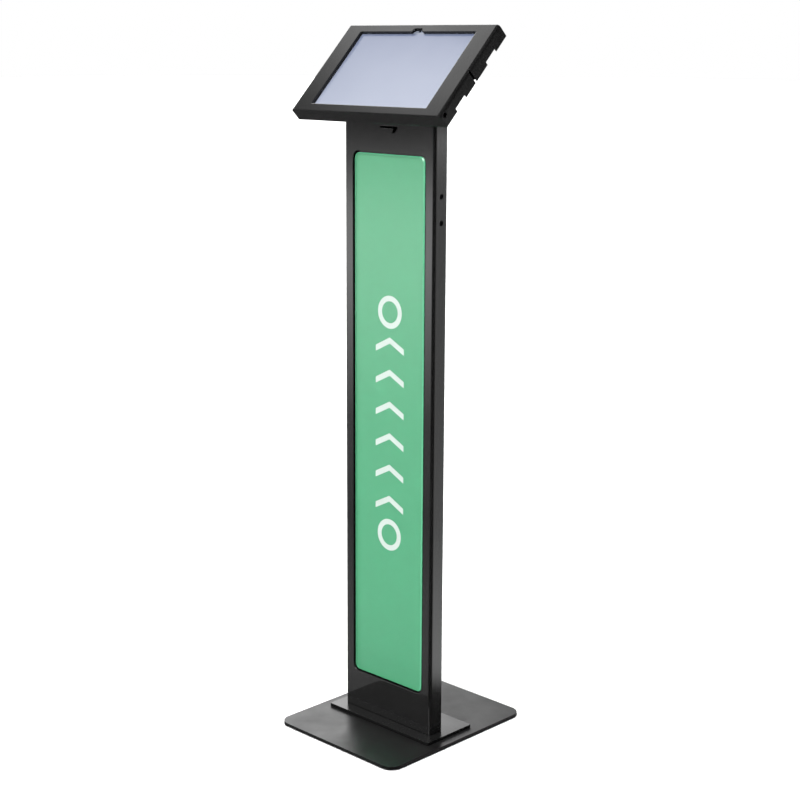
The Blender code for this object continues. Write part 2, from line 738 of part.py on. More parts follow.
def build_bracket(looks):
    """The folded bracket that carries the head, and its side screws and nuts."""
    plate = tilted_box(
        (-CHEEK_OUTSIDE, PLATE_LOW, -PLATE_BACK),
        (CHEEK_OUTSIDE, PLATE_HIGH, -PLATE_FRONT),
    )
    join(plate, cheek(-1), cheek(1))
    cut(plate, tilted_cylinder((0, CABLE_HOLE_Y), CABLE_HOLE_RADIUS, PLATE_FRONT - MM, PLATE_BACK + MM))
    for place in mount_places():
        cut(plate, tilted_cylinder(place, MOUNT_SCREW_HOLE, PLATE_FRONT - MM, PLATE_BACK + MM, SMALL_SIDES))
    number = 0
    for height in SIDE_SCREW_HEIGHTS:
        place = (COLUMN_MIDDLE, height)
        reach = COLUMN_HALF_X
        cut(plate, cylinder("X", place, SIDE_SCREW_HOLE, -reach, reach, 14))
        for side in (-1, 1):
            number += 1
            seat = CHEEK_OUTSIDE + GAP
            profile = [
                (0, side * (seat - 8 * MM)),
                (SIDE_SCREW_SHANK, side * (seat - 8 * MM)),
                (SIDE_SCREW_SHANK, side * seat),
                (SIDE_SCREW_HEAD, side * seat),
                (SIDE_SCREW_HEAD, side * (SIDE_INSIDE + 0.3 * MM)),
                (0, side * (SIDE_INSIDE + 0.3 * MM)),
            ]
            screw = turned("X", place, profile, SMALL_SIDES)
            keep(screw, f"bracket_screw_{number}", looks["black_zinc"])
            inside = CHEEK_OUTSIDE - CHEEK_SHEET - GAP
            ends = sorted((side * inside, side * (inside - 3.5 * MM)))
            nut = hexagon_bar("X", place, 4.6 * MM, *ends)
            bore = cylinder("X", place, SIDE_SCREW_HOLE, -reach, reach, SMALL_SIDES)
            keep(cut(nut, bore), f"bracket_nut_{number}", looks["zinc_steel"])
    keep(plate, "head_bracket", looks["black_powder_coat"])


# ---------------------------------------------------------------- head

def slab(outline, front, back):
    """A flat piece in the head's frame, between two depths behind the front face."""
    return prism("Z", outline, -back, -front)


def block(low_x, high_x, low_y, high_y, front, back):
    """A rectangular block in the head's frame."""
    return box((low_x, low_y, -back), (high_x, high_y, -front))


def hinge_barrel(low_y, high_y):
    """A knuckle's round part, on the hinge's axis."""
    return cylinder("Y", (HINGE_X, -HINGE_DEPTH), KNUCKLE_RADIUS, low_y, high_y, 16)


def build_front_frame(looks, head):
    """The folded front frame, with window, notches, slot, lock hole and knuckles."""
    pivot = make_pivot("front_frame_hinge", (HINGE_X, 0, -HINGE_DEPTH), head)

    def section(inset_by, bend, back):
        half = HEAD_HALF_X - inset_by
        points = [(-half, -back), (half, -back)]
        points += arc(half - bend, -inset_by - bend, bend, 0, 90, CORNER_STEPS)
        points += arc(-half + bend, -inset_by - bend, bend, 90, 180, CORNER_STEPS)
        return points

    frame = prism("Y", section(0, HEAD_BEND, HEAD_DEPTH), -HEAD_HALF_Y, HEAD_HALF_Y)
    inside_y = HEAD_HALF_Y - SHEET
    inside = section(SHEET, HEAD_BEND - SHEET, HEAD_DEPTH + MM)
    cut(frame, prism("Y", inside, -inside_y, inside_y))
    cut(frame, slab(screen_opening(), -MM, SHEET + MM))

    wall_in = HEAD_HALF_X - 2 * SHEET
    wall_out = HEAD_HALF_X + MM
    for side in (-1, 1):
        low_x, high_x = sorted((side * wall_in, side * wall_out))
        for offset in (-NOTCH_OFFSET, NOTCH_OFFSET):
            notch = block(
                low_x,
                high_x,
                offset - NOTCH_HALF,
                offset + NOTCH_HALF,
                HEAD_DEPTH - NOTCH_DEPTH,
                HEAD_DEPTH + MM,
            )
            cut(frame, notch)
    slot = block(
        HEAD_HALF_X - PORT_SLOT_X,
        wall_out,
        PORT_SLOT_Y - PORT_SLOT_HALF,
        PORT_SLOT_Y + PORT_SLOT_HALF,
        -MM,
        HEAD_DEPTH + MM,
    )
    cut(frame, slot)
    cut(frame, cylinder("X", (LOCK_Y, -LOCK_DEPTH), LOCK_HOLE, wall_in, wall_out, 16))

    for spot in HINGE_SPOTS:
        for end in (-1, 1):
            low_y, high_y = sorted((spot + end * (KNUCKLE_SPLIT + GAP), spot + end * KNUCKLE_END))
            root = block(
                -HEAD_HALF_X + SHEET / 2,
                HINGE_X,
                low_y,
                high_y,
                HINGE_DEPTH - 2.2 * MM,
                HINGE_DEPTH + 2.2 * MM,
            )
            join(frame, join(root, hinge_barrel(low_y, high_y)))
        cut(frame, hinge_bore(spot))
    keep(frame, "front_frame", looks["black_powder_coat"], pivot)

    ring = slab(
        rounded_rectangle(-GASKET_HALF_X, -GASKET_HALF_Y, GASKET_HALF_X, GASKET_HALF_Y, 4 * MM),
        GASKET_FRONT,
        GASKET_BACK,
    )
    cut(ring, slab(screen_opening(GAP), GASKET_FRONT - MM, GASKET_BACK + MM))
    keep(ring, "window_gasket", looks["foam"], pivot)
    build_lock(looks, pivot, head)


def hinge_bore(spot):
    """The hole for one hinge pin."""
    end = KNUCKLE_END + MM
    return cylinder("Y", (HINGE_X, -HINGE_DEPTH), KNUCKLE_BORE, spot - end, spot + end, SMALL_SIDES)


def build_lock(looks, frame_pivot, head):
    """Cam lock in the frame's right wall: barrel, nut, turning plug and cam."""
    place = (LOCK_Y, -LOCK_DEPTH)
    plug_pivot = make_pivot("lock_turn", (BARREL_END_X, LOCK_Y, -LOCK_DEPTH), head)
    face = HEAD_HALF_X - BARREL_RECESS
    barrel = cylinder("X", place, BARREL_RADIUS, BARREL_END_X, face, 16)
    cut(barrel, cylinder("X", place, BARREL_BORE, BARREL_END_X - MM, face + MM, 16))
    keep(barrel, "lock_barrel", looks["black_zinc"], frame_pivot)
    wall = HEAD_HALF_X - SHEET
    nut = hexagon_bar("X", place, NUT_RADIUS, wall - 2.6 * MM, wall - 0.6 * MM)
    cut(nut, cylinder("X", place, LOCK_HOLE, wall - 6 * MM, wall + MM, 16))
    keep(nut, "lock_nut", looks["zinc_steel"], frame_pivot)

    plug_face = face - PLUG_RECESS
    plug = cylinder("X", place, PLUG_RADIUS, BARREL_END_X, plug_face, 16)
    keyway = box(
        (plug_face - 2 * MM, LOCK_Y - 1.5 * MM, -LOCK_DEPTH - 0.5 * MM),
        (plug_face + MM, LOCK_Y + 1.5 * MM, -LOCK_DEPTH + 0.5 * MM),
    )
    keep(cut(plug, keyway), "lock_plug", looks["black_zinc"], plug_pivot)
    cam_front = LOCK_DEPTH - CAM_HALF_WIDTH
    cam = block(
        BARREL_END_X - GAP - CAM_THICKNESS,
        BARREL_END_X - GAP,
        LOCK_Y - CAM_HALF_WIDTH,
        LOCK_Y + CAM_HALF_WIDTH,
        cam_front,
        LOCK_DEPTH + CAM_REACH,
    )
    keep(cam, "lock_cam", looks["zinc_steel"], plug_pivot)


def build_back_shell(looks, head):
    """Back shell with its rim, bosses, cable hole and the fixed hinge knuckles."""
    outline = rounded_rectangle(-SHELL_HALF_X, -SHELL_HALF_Y, SHELL_HALF_X, SHELL_HALF_Y, SHELL_CORNER, 4)
    shell = slab(outline, SHELL_RIM, SHELL_BACK)
    hollow = rounded_rectangle(
        -SHELL_HALF_X + SHEET,
        -SHELL_HALF_Y + SHEET,
        SHELL_HALF_X - SHEET,
        SHELL_HALF_Y - SHEET,
        SHELL_CORNER - SHEET,
        4,
    )
    cut(shell, slab(hollow, SHELL_RIM - MM, SHELL_FLOOR))
    for x, y in mount_places():
        boss = cylinder("Z", (x, y), BOSS_RADIUS, -SHELL_FLOOR - SHEET / 2, -SHELL_FLOOR + BOSS_HEIGHT, 16)
        join(shell, boss)
        bore = cylinder("Z", (x, y), MOUNT_SCREW_HOLE, -SHELL_BACK - MM, -SHELL_FLOOR + BOSS_HEIGHT - MM, SMALL_SIDES)
        cut(shell, bore)
    hole = cylinder("Z", (0, CABLE_HOLE_Y), CABLE_HOLE_RADIUS, -SHELL_BACK - MM, -SHELL_FLOOR + MM)
    cut(shell, hole)
    for spot in HINGE_SPOTS:
        low_y = spot - KNUCKLE_SPLIT
        high_y = spot + KNUCKLE_SPLIT
        leaf = block(HINGE_X, HINGE_X + LEAF_REACH, low_y, high_y, SHELL_BACK - SHEET / 2, SHELL_BACK + 1.5 * MM)
        join(shell, join(leaf, hinge_barrel(low_y, high_y)))
        cut(shell, hinge_bore(spot))
    keep(shell, "back_shell", looks["black_powder_coat"], head)

    for name, spot in zip(("hinge_pin_bottom", "hinge_pin_top"), HINGE_SPOTS):
        place = (HINGE_X, -HINGE_DEPTH)
        pin = cylinder("Y", place, PIN_RADIUS, spot - KNUCKLE_END, spot + KNUCKLE_END, SMALL_SIDES)
        keep(pin, name, looks["zinc_steel"], head)
    for number, place in enumerate(mount_places(), 1):
        seat = -PLATE_BACK - GAP
        profile = [
            (0, seat - 2.4 * MM),
            (MOUNT_SCREW_HEAD - MM, seat - 2.4 * MM),
            (MOUNT_SCREW_HEAD, seat - 1.4 * MM),
            (MOUNT_SCREW_HEAD, seat),
            (MOUNT_SCREW_RADIUS, seat),
            (MOUNT_SCREW_RADIUS, seat + MOUNT_SCREW_LENGTH),
            (0, seat + MOUNT_SCREW_LENGTH),
        ]
        screw = turned("Z", place, profile, 16)
        socket = hexagon_bar("Z", place, HEX_SOCKET, seat - 4 * MM, seat - 1.2 * MM)
        keep(cut(screw, socket), f"mount_screw_{number}", looks["black_zinc"], head)
    build_catch(looks, head)


def build_catch(looks, head):
    """Hooked catch on the back shell that the lock's cam turns under."""
    lip_depth = LOCK_DEPTH - CAM_HALF_WIDTH - CATCH_CLEARANCE
    low_x = BARREL_END_X - 4 * MM
    high_x = BARREL_END_X + 1.2 * MM
    outline = [
        (LOCK_Y + CATCH_FAR, -SHELL_FLOOR + GAP),
        (LOCK_Y + CATCH_FAR, -lip_depth + CATCH_SHEET),
        (LOCK_Y + CATCH_NEAR, -lip_depth + CATCH_SHEET),
        (LOCK_Y + CATCH_NEAR, -lip_depth),
        (LOCK_Y + CATCH_FAR - CATCH_SHEET, -lip_depth),
        (LOCK_Y + CATCH_FAR - CATCH_SHEET, -SHELL_FLOOR + GAP),
    ]
    catch = prism("X", outline, low_x, high_x)
    keep(catch, "lock_catch", looks["zinc_steel"], head)


def build_tablet(looks, head):
    """The tablet: housing, glass, display, camera and its two travelling buttons."""
    outline = rounded_rectangle(
        -TABLET_HALF_X, -TABLET_HALF_Y, TABLET_HALF_X, TABLET_HALF_Y, TABLET_CORNER
    )
    housing = slab(outline, TABLET_FRONT + GAP, TABLET_BACK)
    half_x = TABLET_HALF_X - GLASS_BORDER
    half_y = TABLET_HALF_Y - GLASS_BORDER
    corner = TABLET_CORNER - GLASS_BORDER
    glass_back = TABLET_FRONT + GLASS_THICKNESS
    pocket = rounded_rectangle(-half_x - GAP, -half_y - GAP, half_x + GAP, half_y + GAP, corner + GAP)
    cut(housing, slab(pocket, TABLET_FRONT - MM, glass_back + GAP))
    glass = slab(rounded_rectangle(-half_x, -half_y, half_x, half_y, corner), TABLET_FRONT, glass_back)
    keep(glass, "tablet_glass", looks["screen_glass"], head)

    half_x = DISPLAY_HALF_X
    half_y = DISPLAY_HALF_Y
    well = block(
        -half_x - GAP,
        half_x + GAP,
        -half_y - GAP,
        half_y + GAP,
        TABLET_FRONT,
        DISPLAY_FRONT + DISPLAY_THICKNESS + GAP,
    )
    cut(housing, well)
    display = block(-half_x, half_x, -half_y, half_y, DISPLAY_FRONT, DISPLAY_FRONT + DISPLAY_THICKNESS)
    keep(display, "tablet_display", looks["display_picture"], head)

    camera_back = DISPLAY_FRONT + DISPLAY_THICKNESS
    hole = cylinder("Z", (0, CAMERA_Y), CAMERA_RADIUS + GAP, -camera_back - GAP, -TABLET_FRONT, 16)
    cut(housing, hole)
    camera = cylinder("Z", (0, CAMERA_Y), CAMERA_RADIUS, -camera_back, -DISPLAY_FRONT, 16)
    keep(camera, "front_camera", looks["lens_black"], head)

    buttons = (("power_button", POWER_X, POWER_HALF), ("volume_button", VOLUME_X, VOLUME_HALF))
    for name, x, half in buttons:
        top = TABLET_HALF_Y + BUTTON_PROUD
        bottom = top - BUTTON_LENGTH
        pivot = make_pivot(name + "_press", (x, top, -BUTTON_DEPTH), head)
        well = block(
            x - half - GAP,
            x + half + GAP,
            bottom - BUTTON_TRAVEL - GAP,
            top + MM,
            BUTTON_DEPTH - BUTTON_HALF_THICKNESS - GAP,
            BUTTON_DEPTH + BUTTON_HALF_THICKNESS + GAP,
        )
        cut(housing, well)
        outline = rounded_rectangle(
            x - half,
            -BUTTON_DEPTH - BUTTON_HALF_THICKNESS,
            x + half,
            -BUTTON_DEPTH + BUTTON_HALF_THICKNESS,
            0.7 * MM,
            3,
        )
        button = prism("Y", outline, bottom, top)
        keep(button, name, looks["tablet_graphite"], pivot)
    keep(housing, "tablet_housing", looks["tablet_graphite"], head)


def build_tablet_pads(looks, head):
    """Four stepped pads that carry the tablet's back and locate its ends."""
    number = 0
    for side in (-1, 1):
        for offset in (-PAD_Y, PAD_Y):
            number += 1
            edge = TABLET_HALF_X + GAP
            outline = [
                (side * PAD_X, -SHELL_FLOOR + GAP),
                (side * (edge + PAD_LIP), -SHELL_FLOOR + GAP),
                (side * (edge + PAD_LIP), -TABLET_FRONT - 2 * MM),
                (side * edge, -TABLET_FRONT - 2 * MM),
                (side * edge, -TABLET_BACK - GAP),
                (side * PAD_X, -TABLET_BACK - GAP),
            ]
            pad = prism("Y", outline, offset - PAD_HALF_LENGTH, offset + PAD_HALF_LENGTH)
            keep(pad, f"tablet_pad_{number}", looks["rubber"], head)


def clear_scene():
    """Removes whatever the scene starts with."""
    for existing in list(bpy.data.objects):
        bpy.data.objects.remove(existing)


def build_kiosk():
    """The whole kiosk, from the floor up."""
    clear_scene()
    looks = make_materials()
    build_base(looks)
    build_column(looks)
    build_panel(looks)
    build_rear_cover(looks)
    build_outlet(looks)
    build_cable_clips(looks)
    build_bracket(looks)
    head = make_pivot("head_tilt", HEAD_CENTRE, None, TILT)
    build_back_shell(looks, head)
    build_tablet(looks, head)
    build_tablet_pads(looks, head)
    build_front_frame(looks, head)


build_kiosk()
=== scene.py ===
"""Looks of the touchscreen kiosk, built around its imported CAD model.

Lengths are in metres, in the CAD model's frame: +Z up, the visitor on the -Y side.
"""

import json
import math

import bpy
from mathutils import Matrix, Vector


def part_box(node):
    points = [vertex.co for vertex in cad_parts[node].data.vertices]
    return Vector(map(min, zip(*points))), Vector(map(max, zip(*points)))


MM = 0.001

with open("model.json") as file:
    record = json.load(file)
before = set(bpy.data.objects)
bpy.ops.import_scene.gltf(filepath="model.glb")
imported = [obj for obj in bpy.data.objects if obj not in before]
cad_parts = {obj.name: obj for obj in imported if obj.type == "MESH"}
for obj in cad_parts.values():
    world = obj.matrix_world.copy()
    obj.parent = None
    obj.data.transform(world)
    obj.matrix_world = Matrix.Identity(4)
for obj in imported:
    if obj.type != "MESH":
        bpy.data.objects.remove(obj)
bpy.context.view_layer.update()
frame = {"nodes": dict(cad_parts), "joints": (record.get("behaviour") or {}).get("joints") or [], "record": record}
NODES = frame["nodes"]
JOINTS = {joint["name"]: joint for joint in frame["joints"]}

# The head's own directions, from the axis that its front frame swings on
HEAD_UP = -Vector(JOINTS["front_frame_hinge"]["axis"])
ACROSS = Vector((1, 0, 0))
HEAD_OUT = ACROSS.cross(HEAD_UP)

CAMERA_PLACE = Vector((1.6764, -1.7210, 1.0688))
CAMERA_YAW = math.radians(44.35)
CAMERA_PITCH = math.radians(12.653)
CAMERA_ROLL = math.radians(0.255)
CAMERA_LENS = 71.65

# White marks on the printed insert: chevrons in rows, between two rings
MARK_ROWS = 6
MARK_PITCH = 50 * MM
MARK_LINE = 8.5 * MM
MARK_RISE = 2 * MM
MARK_BLUR = 0.2 * MM
CHEVRON_HALF_WIDTH = 30 * MM
CHEVRON_SLANT = 0.5
CHEVRON_SHIFT = 7.5 * MM
CHEVRON_HALF_LINE = 0.56
RING_RADIUS = 21 * MM
RING_DISTANCE = 26 * MM

# Half the height of the display's lit area, along the slope
PAGE_HALF = 74 * MM
FLOOR_REACH = 40.0


def middle(node):
    """Centre of a CAD node's box."""
    low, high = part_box(node)
    return (low + high) / 2


# ---------------------------------------------------------------- node helpers

class Tree:
    """Short calls for building one node tree."""

    def __init__(self, owner):
        self.nodes = owner.node_tree.nodes
        self.links = owner.node_tree.links

    def add(self, kind, **settings):
        node = self.nodes.new(kind)
        for name, value in settings.items():
            setattr(node, name, value)
        return node

    def put(self, socket, value):
        """Links a socket, or sets a plain value."""
        if isinstance(value, bpy.types.NodeSocket):
            self.links.new(value, socket)
        elif value is not None:
            socket.default_value = value

    def math(self, operation, first, second=None, third=None, clamp=False):
        node = self.add("ShaderNodeMath", operation=operation, use_clamp=clamp)
        for socket, value in zip(node.inputs, (first, second, third)):
            self.put(socket, value)
        return node.outputs[0]

    def dot(self, vector, direction):
        node = self.add("ShaderNodeVectorMath", operation="DOT_PRODUCT")
        self.put(node.inputs[0], vector)
        node.inputs[1].default_value = direction
        return node.outputs["Value"]

    def position(self):
        return self.add("ShaderNodeTexCoord").outputs["Object"]

    def normal(self):
        return self.add("ShaderNodeNewGeometry").outputs["Normal"]

    def stretch(self, vector, scale):
        node = self.add("ShaderNodeVectorMath", operation="MULTIPLY")
        self.put(node.inputs[0], vector)
        node.inputs[1].default_value = scale
        return node.outputs[0]

    def noise(self, vector, scale, detail=3.0, roughness=0.5):
        node = self.add("ShaderNodeTexNoise")
        self.put(node.inputs["Vector"], vector)
        node.inputs["Scale"].default_value = scale
        node.inputs["Detail"].default_value = detail
        node.inputs["Roughness"].default_value = roughness
        return node.outputs["Fac"]

    def ease(self, value, low, high, to_low=0.0, to_high=1.0):
        """A smooth step from one level to another."""
        node = self.add("ShaderNodeMapRange", interpolation_type="SMOOTHSTEP")
        self.put(node.inputs["Value"], value)
        node.inputs["From Min"].default_value = low
        node.inputs["From Max"].default_value = high
        node.inputs["To Min"].default_value = to_low
        node.inputs["To Max"].default_value = to_high
        return node.outputs["Result"]

    def span(self, value, low, high, to_low=0.0, to_high=1.0):
        """A straight step from one level to another."""
        node = self.add("ShaderNodeMapRange")
        self.put(node.inputs["Value"], value)
        node.inputs["From Min"].default_value = low
        node.inputs["From Max"].default_value = high
        node.inputs["To Min"].default_value = to_low
        node.inputs["To Max"].default_value = to_high
        return node.outputs["Result"]

    def blend(self, factor, first, second):
        """Mixes two colours."""
        node = self.add("ShaderNodeMix", data_type="RGBA")
        self.put(node.inputs["Factor"], factor)
        for name, colour in (("A", first), ("B", second)):
            socket = next(s for s in node.inputs if s.name == name and s.type == "RGBA")
            self.put(socket, colour if isinstance(colour, bpy.types.NodeSocket) else (*colour, 1.0))
        return next(s for s in node.outputs if s.type == "RGBA")

    def bump(self, height, distance, edge=0.0):
        """Fine relief, on faces whose edges look rounded by a small radius."""
        node = self.add("ShaderNodeBump")
        self.put(node.inputs["Height"], height)
        node.inputs["Distance"].default_value = distance
        if edge:
            rounding = self.add("ShaderNodeBevel", samples=8)
            rounding.inputs["Radius"].default_value = edge
            self.put(node.inputs["Normal"], rounding.outputs[0])
        return node.outputs[0]


def screen_colour(red, green, blue):
    """Linear colour from 0-255 screen values."""
    linear = []
    for value in (red, green, blue):
        share = value / 255
        linear.append(share / 12.92 if share <= 0.04045 else ((share + 0.055) / 1.055) ** 2.4)
    return tuple(linear)


def start_material(name, **constants):
    """A material with one Principled shader, and the constants set on its sockets."""
    material = bpy.data.materials.new(name)
    material.use_nodes = True
    tree = Tree(material)
    shader = tree.nodes["Principled BSDF"]
    for socket, value in constants.items():
        shader.inputs[socket.replace("_", " ")].default_value = value
    return material, tree, shader


# ---------------------------------------------------------------- materials

def coated_metal(name, dark, light, roughness, grain, ior, edge):
    """Powder coat: an even black with a fine orange-peel skin."""
    material, tree, shader = start_material(name, IOR=ior)
    place = tree.position()
    cloud = tree.noise(place, 14.0, 4.0, 0.6)
    fleck = tree.noise(place, 900.0, 2.0, 0.7)
    shade = tree.math("ADD", tree.math("MULTIPLY", cloud, 0.6), tree.math("MULTIPLY", fleck, 0.4))
    tree.put(shader.inputs["Base Color"], tree.blend(tree.span(shade, 0.3, 0.7), dark, light))
    tree.put(shader.inputs["Roughness"], tree.span(cloud, 0.3, 0.7, roughness * 0.8, roughness * 1.2))
    peel = tree.noise(place, 700.0, 2.0, 0.6)
    tree.put(shader.inputs["Normal"], tree.bump(peel, grain, edge))
    return material


def plated_metal(name, colour, roughness):
    """Plated steel with fine drawing lines."""
    material, tree, shader = start_material(name, Metallic=1.0)
    place = tree.position()
    lines = tree.noise(tree.stretch(place, (900.0, 900.0, 60.0)), 1.0, 2.0)
    cloud = tree.noise(place, 160.0, 3.0)
    darker = tuple(value * 0.72 for value in colour)
    tree.put(shader.inputs["Base Color"], tree.blend(tree.span(cloud, 0.35, 0.65), darker, colour))
    tree.put(shader.inputs["Roughness"], tree.span(lines, 0.3, 0.7, roughness - 0.06, roughness + 0.1))
    tree.put(shader.inputs["Normal"], tree.bump(lines, 0.00002))
    return material


def soft_polymer(name, colour, roughness, pore_scale, pore_depth):
    """Rubber or foam."""
    material, tree, shader = start_material(name)
    place = tree.position()
    pores = tree.noise(place, pore_scale, 3.0, 0.7)
    lighter = tuple(value * 1.8 + 0.004 for value in colour)
    tree.put(shader.inputs["Base Color"], tree.blend(tree.span(pores, 0.35, 0.7), colour, lighter))
    tree.put(shader.inputs["Roughness"], tree.span(pores, 0.3, 0.7, roughness - 0.08, roughness + 0.06))
    tree.put(shader.inputs["Normal"], tree.bump(pores, pore_depth))
    return material


def anodised(name, colour, bezel):
    """Bead-blasted, anodised tablet housing, with a pale bezel under its glass."""
    material, tree, shader = start_material(name)
    place = tree.position()
    blast = tree.noise(place, 2600.0, 2.0, 0.6)
    cloud = tree.noise(place, 30.0, 3.0)
    lighter = tuple(value * 1.25 for value in colour)
    front = tree.ease(tree.dot(tree.normal(), HEAD_OUT), 0.85, 0.95)
    tree.put(shader.inputs["Base Color"], tree.blend(front, tree.blend(cloud, colour, lighter), bezel))
    tree.put(shader.inputs["Metallic"], tree.span(front, 0.0, 1.0, 0.9, 0.0))
    tree.put(shader.inputs["Roughness"], tree.span(blast, 0.3, 0.7, 0.36, 0.48))
    tree.put(shader.inputs["Normal"], tree.bump(blast, 0.00001))
    return material


def lens(name):
    """Black camera lens with a faint coated ring."""
    material, tree, shader = start_material(name, Coat_Weight=1.0, Coat_Roughness=0.02)
    offset = tree.add("ShaderNodeVectorMath", operation="DISTANCE")
    tree.put(offset.inputs[0], tree.position())
    offset.inputs[1].default_value = middle("front_camera")
    ring = tree.ease(offset.outputs["Value"], 0.0009, 0.0013)
    tree.put(shader.inputs["Base Color"], tree.blend(ring, (0.01, 0.012, 0.03), (0.004, 0.004, 0.005)))
    tree.put(shader.inputs["Roughness"], tree.span(ring, 0.0, 1.0, 0.05, 0.25))
    return material


def print_marks(tree, across, up):
    """White ink: a column of chevrons that point up to the screen, between two rings."""
    low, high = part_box("printed_insert")
    centre = (low.z + high.z) / 2 + MARK_RISE
    reach = MARK_PITCH * MARK_ROWS / 2
    cell = tree.math("DIVIDE", tree.math("SUBTRACT", up, centre - reach), MARK_PITCH)
    local = tree.math("MULTIPLY", tree.math("SUBTRACT", tree.math("FRACT", cell), 0.5), MARK_PITCH)
    side = tree.math("ABSOLUTE", across)
    slant = tree.math("ADD", local, tree.math("MULTIPLY", side, CHEVRON_SLANT))
    off_line = tree.math("ABSOLUTE", tree.math("SUBTRACT", slant, CHEVRON_SHIFT))
    half_line = MARK_LINE * CHEVRON_HALF_LINE
    chevron = tree.ease(off_line, half_line + MARK_BLUR, half_line - MARK_BLUR)
    narrow = tree.ease(side, CHEVRON_HALF_WIDTH + MARK_BLUR, CHEVRON_HALF_WIDTH - MARK_BLUR)
    in_rows = tree.math("LESS_THAN", tree.math("ABSOLUTE", tree.math("SUBTRACT", up, centre)), reach)
    marks = tree.math("MULTIPLY", tree.math("MULTIPLY", chevron, narrow), in_rows)
    for end in (-1, 1):
        ring_up = tree.math("SUBTRACT", up, centre + end * (reach + RING_DISTANCE))
        square = tree.math("ADD", tree.math("MULTIPLY", ring_up, ring_up),
                           tree.math("MULTIPLY", across, across))
        off_ring = tree.math("ABSOLUTE", tree.math("SUBTRACT", tree.math("SQRT", square), RING_RADIUS))
        ring = tree.ease(off_ring, MARK_LINE / 2 + MARK_BLUR, MARK_LINE / 2 - MARK_BLUR)
        marks = tree.math("MAXIMUM", marks, ring)
    return marks


def printed_sheet():
    """Green print with white marks, and a painted reflection that makes it slightly lighter and greyer towards the
    top.
    """
    material, tree, shader = start_material("green_print_look")
    place = tree.position()
    up = tree.dot(place, (0, 0, 1))
    across = tree.dot(place, (1, 0, 0))
    low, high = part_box("printed_insert")
    # Painted reflection: the green turns lighter and greyer towards the top
    rise = tree.ease(up, low.z, high.z)
    green = tree.blend(rise, screen_colour(76, 157, 117), screen_colour(89, 161, 123))
    mottle = tree.noise(place, 260.0, 4.0, 0.6)
    green = tree.blend(tree.span(mottle, 0.3, 0.7, 0.0, 0.06), green, screen_colour(70, 144, 104))
    ink = tree.blend(print_marks(tree, across, up), green, screen_colour(200, 205, 202))
    tree.put(shader.inputs["Base Color"], ink)
    tree.put(shader.inputs["Roughness"], tree.span(mottle, 0.3, 0.7, 0.42, 0.5))
    tree.put(shader.inputs["Normal"], tree.bump(mottle, 0.00001))
    return material


def clear_sheet(name, tint, painted_shade_colour, painted_glow_colour, face_normal, roughness):
    """A clear sheet. Its edge walls carry a painted shade from outside. Its chamfer and the faces seen from within
    carry a painted glow.
    """
    material, tree, shader = start_material(name, IOR=1.49)
    smudge = tree.noise(tree.position(), 24.0, 4.0, 0.65)
    blur = tree.span(smudge, 0.3, 0.7, roughness, roughness + 0.05)
    geometry = tree.add("ShaderNodeNewGeometry")
    backfacing = geometry.outputs["Backfacing"]
    facing = tree.math("ABSOLUTE", tree.dot(geometry.outputs["Normal"], face_normal))
    # Painted glow mask: the chamfer and the faces seen from within take the glow colour, and the other walls take
    # the painted shade
    lit = tree.math("MAXIMUM", backfacing, tree.ease(facing, 0.3, 0.6))
    tree.put(shader.inputs["Base Color"], tree.blend(lit, painted_shade_colour, painted_glow_colour))
    tree.put(shader.inputs["Emission Color"], tree.blend(lit, (0.0, 0.0, 0.0), painted_glow_colour))
    tree.put(shader.inputs["Roughness"], blur)
    # Painted glow: faint emission on the chamfer, stronger on faces seen from within
    tree.put(shader.inputs["Emission Strength"], tree.span(backfacing, 0.0, 1.0, 0.1, 0.7))
    clear = tree.add("ShaderNodeBsdfTransparent")
    clear.inputs["Color"].default_value = (*tint, 1.0)
    gloss = tree.add("ShaderNodeBsdfGlossy")
    tree.put(gloss.inputs["Roughness"], blur)
    fresnel = tree.add("ShaderNodeFresnel")
    fresnel.inputs["IOR"].default_value = 1.6
    pane = tree.add("ShaderNodeMixShader")
    from_outside = tree.math("SUBTRACT", 1.0, backfacing)
    tree.put(pane.inputs[0], tree.math("MULTIPLY", fresnel.outputs[0], from_outside))
    tree.put(pane.inputs[1], clear.outputs[0])
    tree.put(pane.inputs[2], gloss.outputs[0])
    whole = tree.add("ShaderNodeMixShader")
    tree.put(whole.inputs[0], tree.math("MULTIPLY", tree.ease(facing, 0.97, 0.85), 0.85))
    tree.put(whole.inputs[1], pane.outputs[0])
    tree.put(whole.inputs[2], shader.outputs[0])
    output = next(node for node in tree.nodes if node.type == "OUTPUT_MATERIAL")
    tree.put(output.inputs["Surface"], whole.outputs[0])
    return material


def display_picture():
    """A lit display with a plain page: a straight gradient, paler downwards, with faint mottling."""
    material, tree, shader = start_material("display_look", Roughness=0.3, Emission_Strength=0.82)
    place = tree.position()
    up = tree.math("SUBTRACT", tree.dot(place, HEAD_UP), middle("tablet_display").dot(HEAD_UP))
    rise = tree.span(up, -PAGE_HALF, PAGE_HALF)
    page = tree.blend(rise, screen_colour(206, 212, 232), screen_colour(138, 148, 180))
    mottle = tree.span(tree.noise(place, 18.0, 2.0), 0.3, 0.7, 0.0, 0.12)
    page = tree.blend(mottle, page, screen_colour(222, 227, 242))
    tree.put(shader.inputs["Emission Color"], page)
    tree.put(shader.inputs["Base Color"], tree.blend(0.96, page, (0.0, 0.0, 0.0)))
    return material


def floor_paint():
    """Pale matte floor."""
    material, tree, shader = start_material("floor_paint")
    place = tree.position()
    cloud = tree.noise(place, 2.0, 4.0)
    tree.put(shader.inputs["Base Color"], tree.blend(cloud, (0.93, 0.93, 0.93), (0.96, 0.96, 0.96)))
    tree.put(shader.inputs["Roughness"], tree.span(cloud, 0.3, 0.7, 0.75, 0.85))
    return material


# Pieces whose coat differs from the rest of their slot: finer on the head, glossier on the foot
NODE_LOOKS = {
    "front_frame": "head_coat",
    "back_shell": "head_coat",
    "foot_plate": "foot_plate_coat",
}


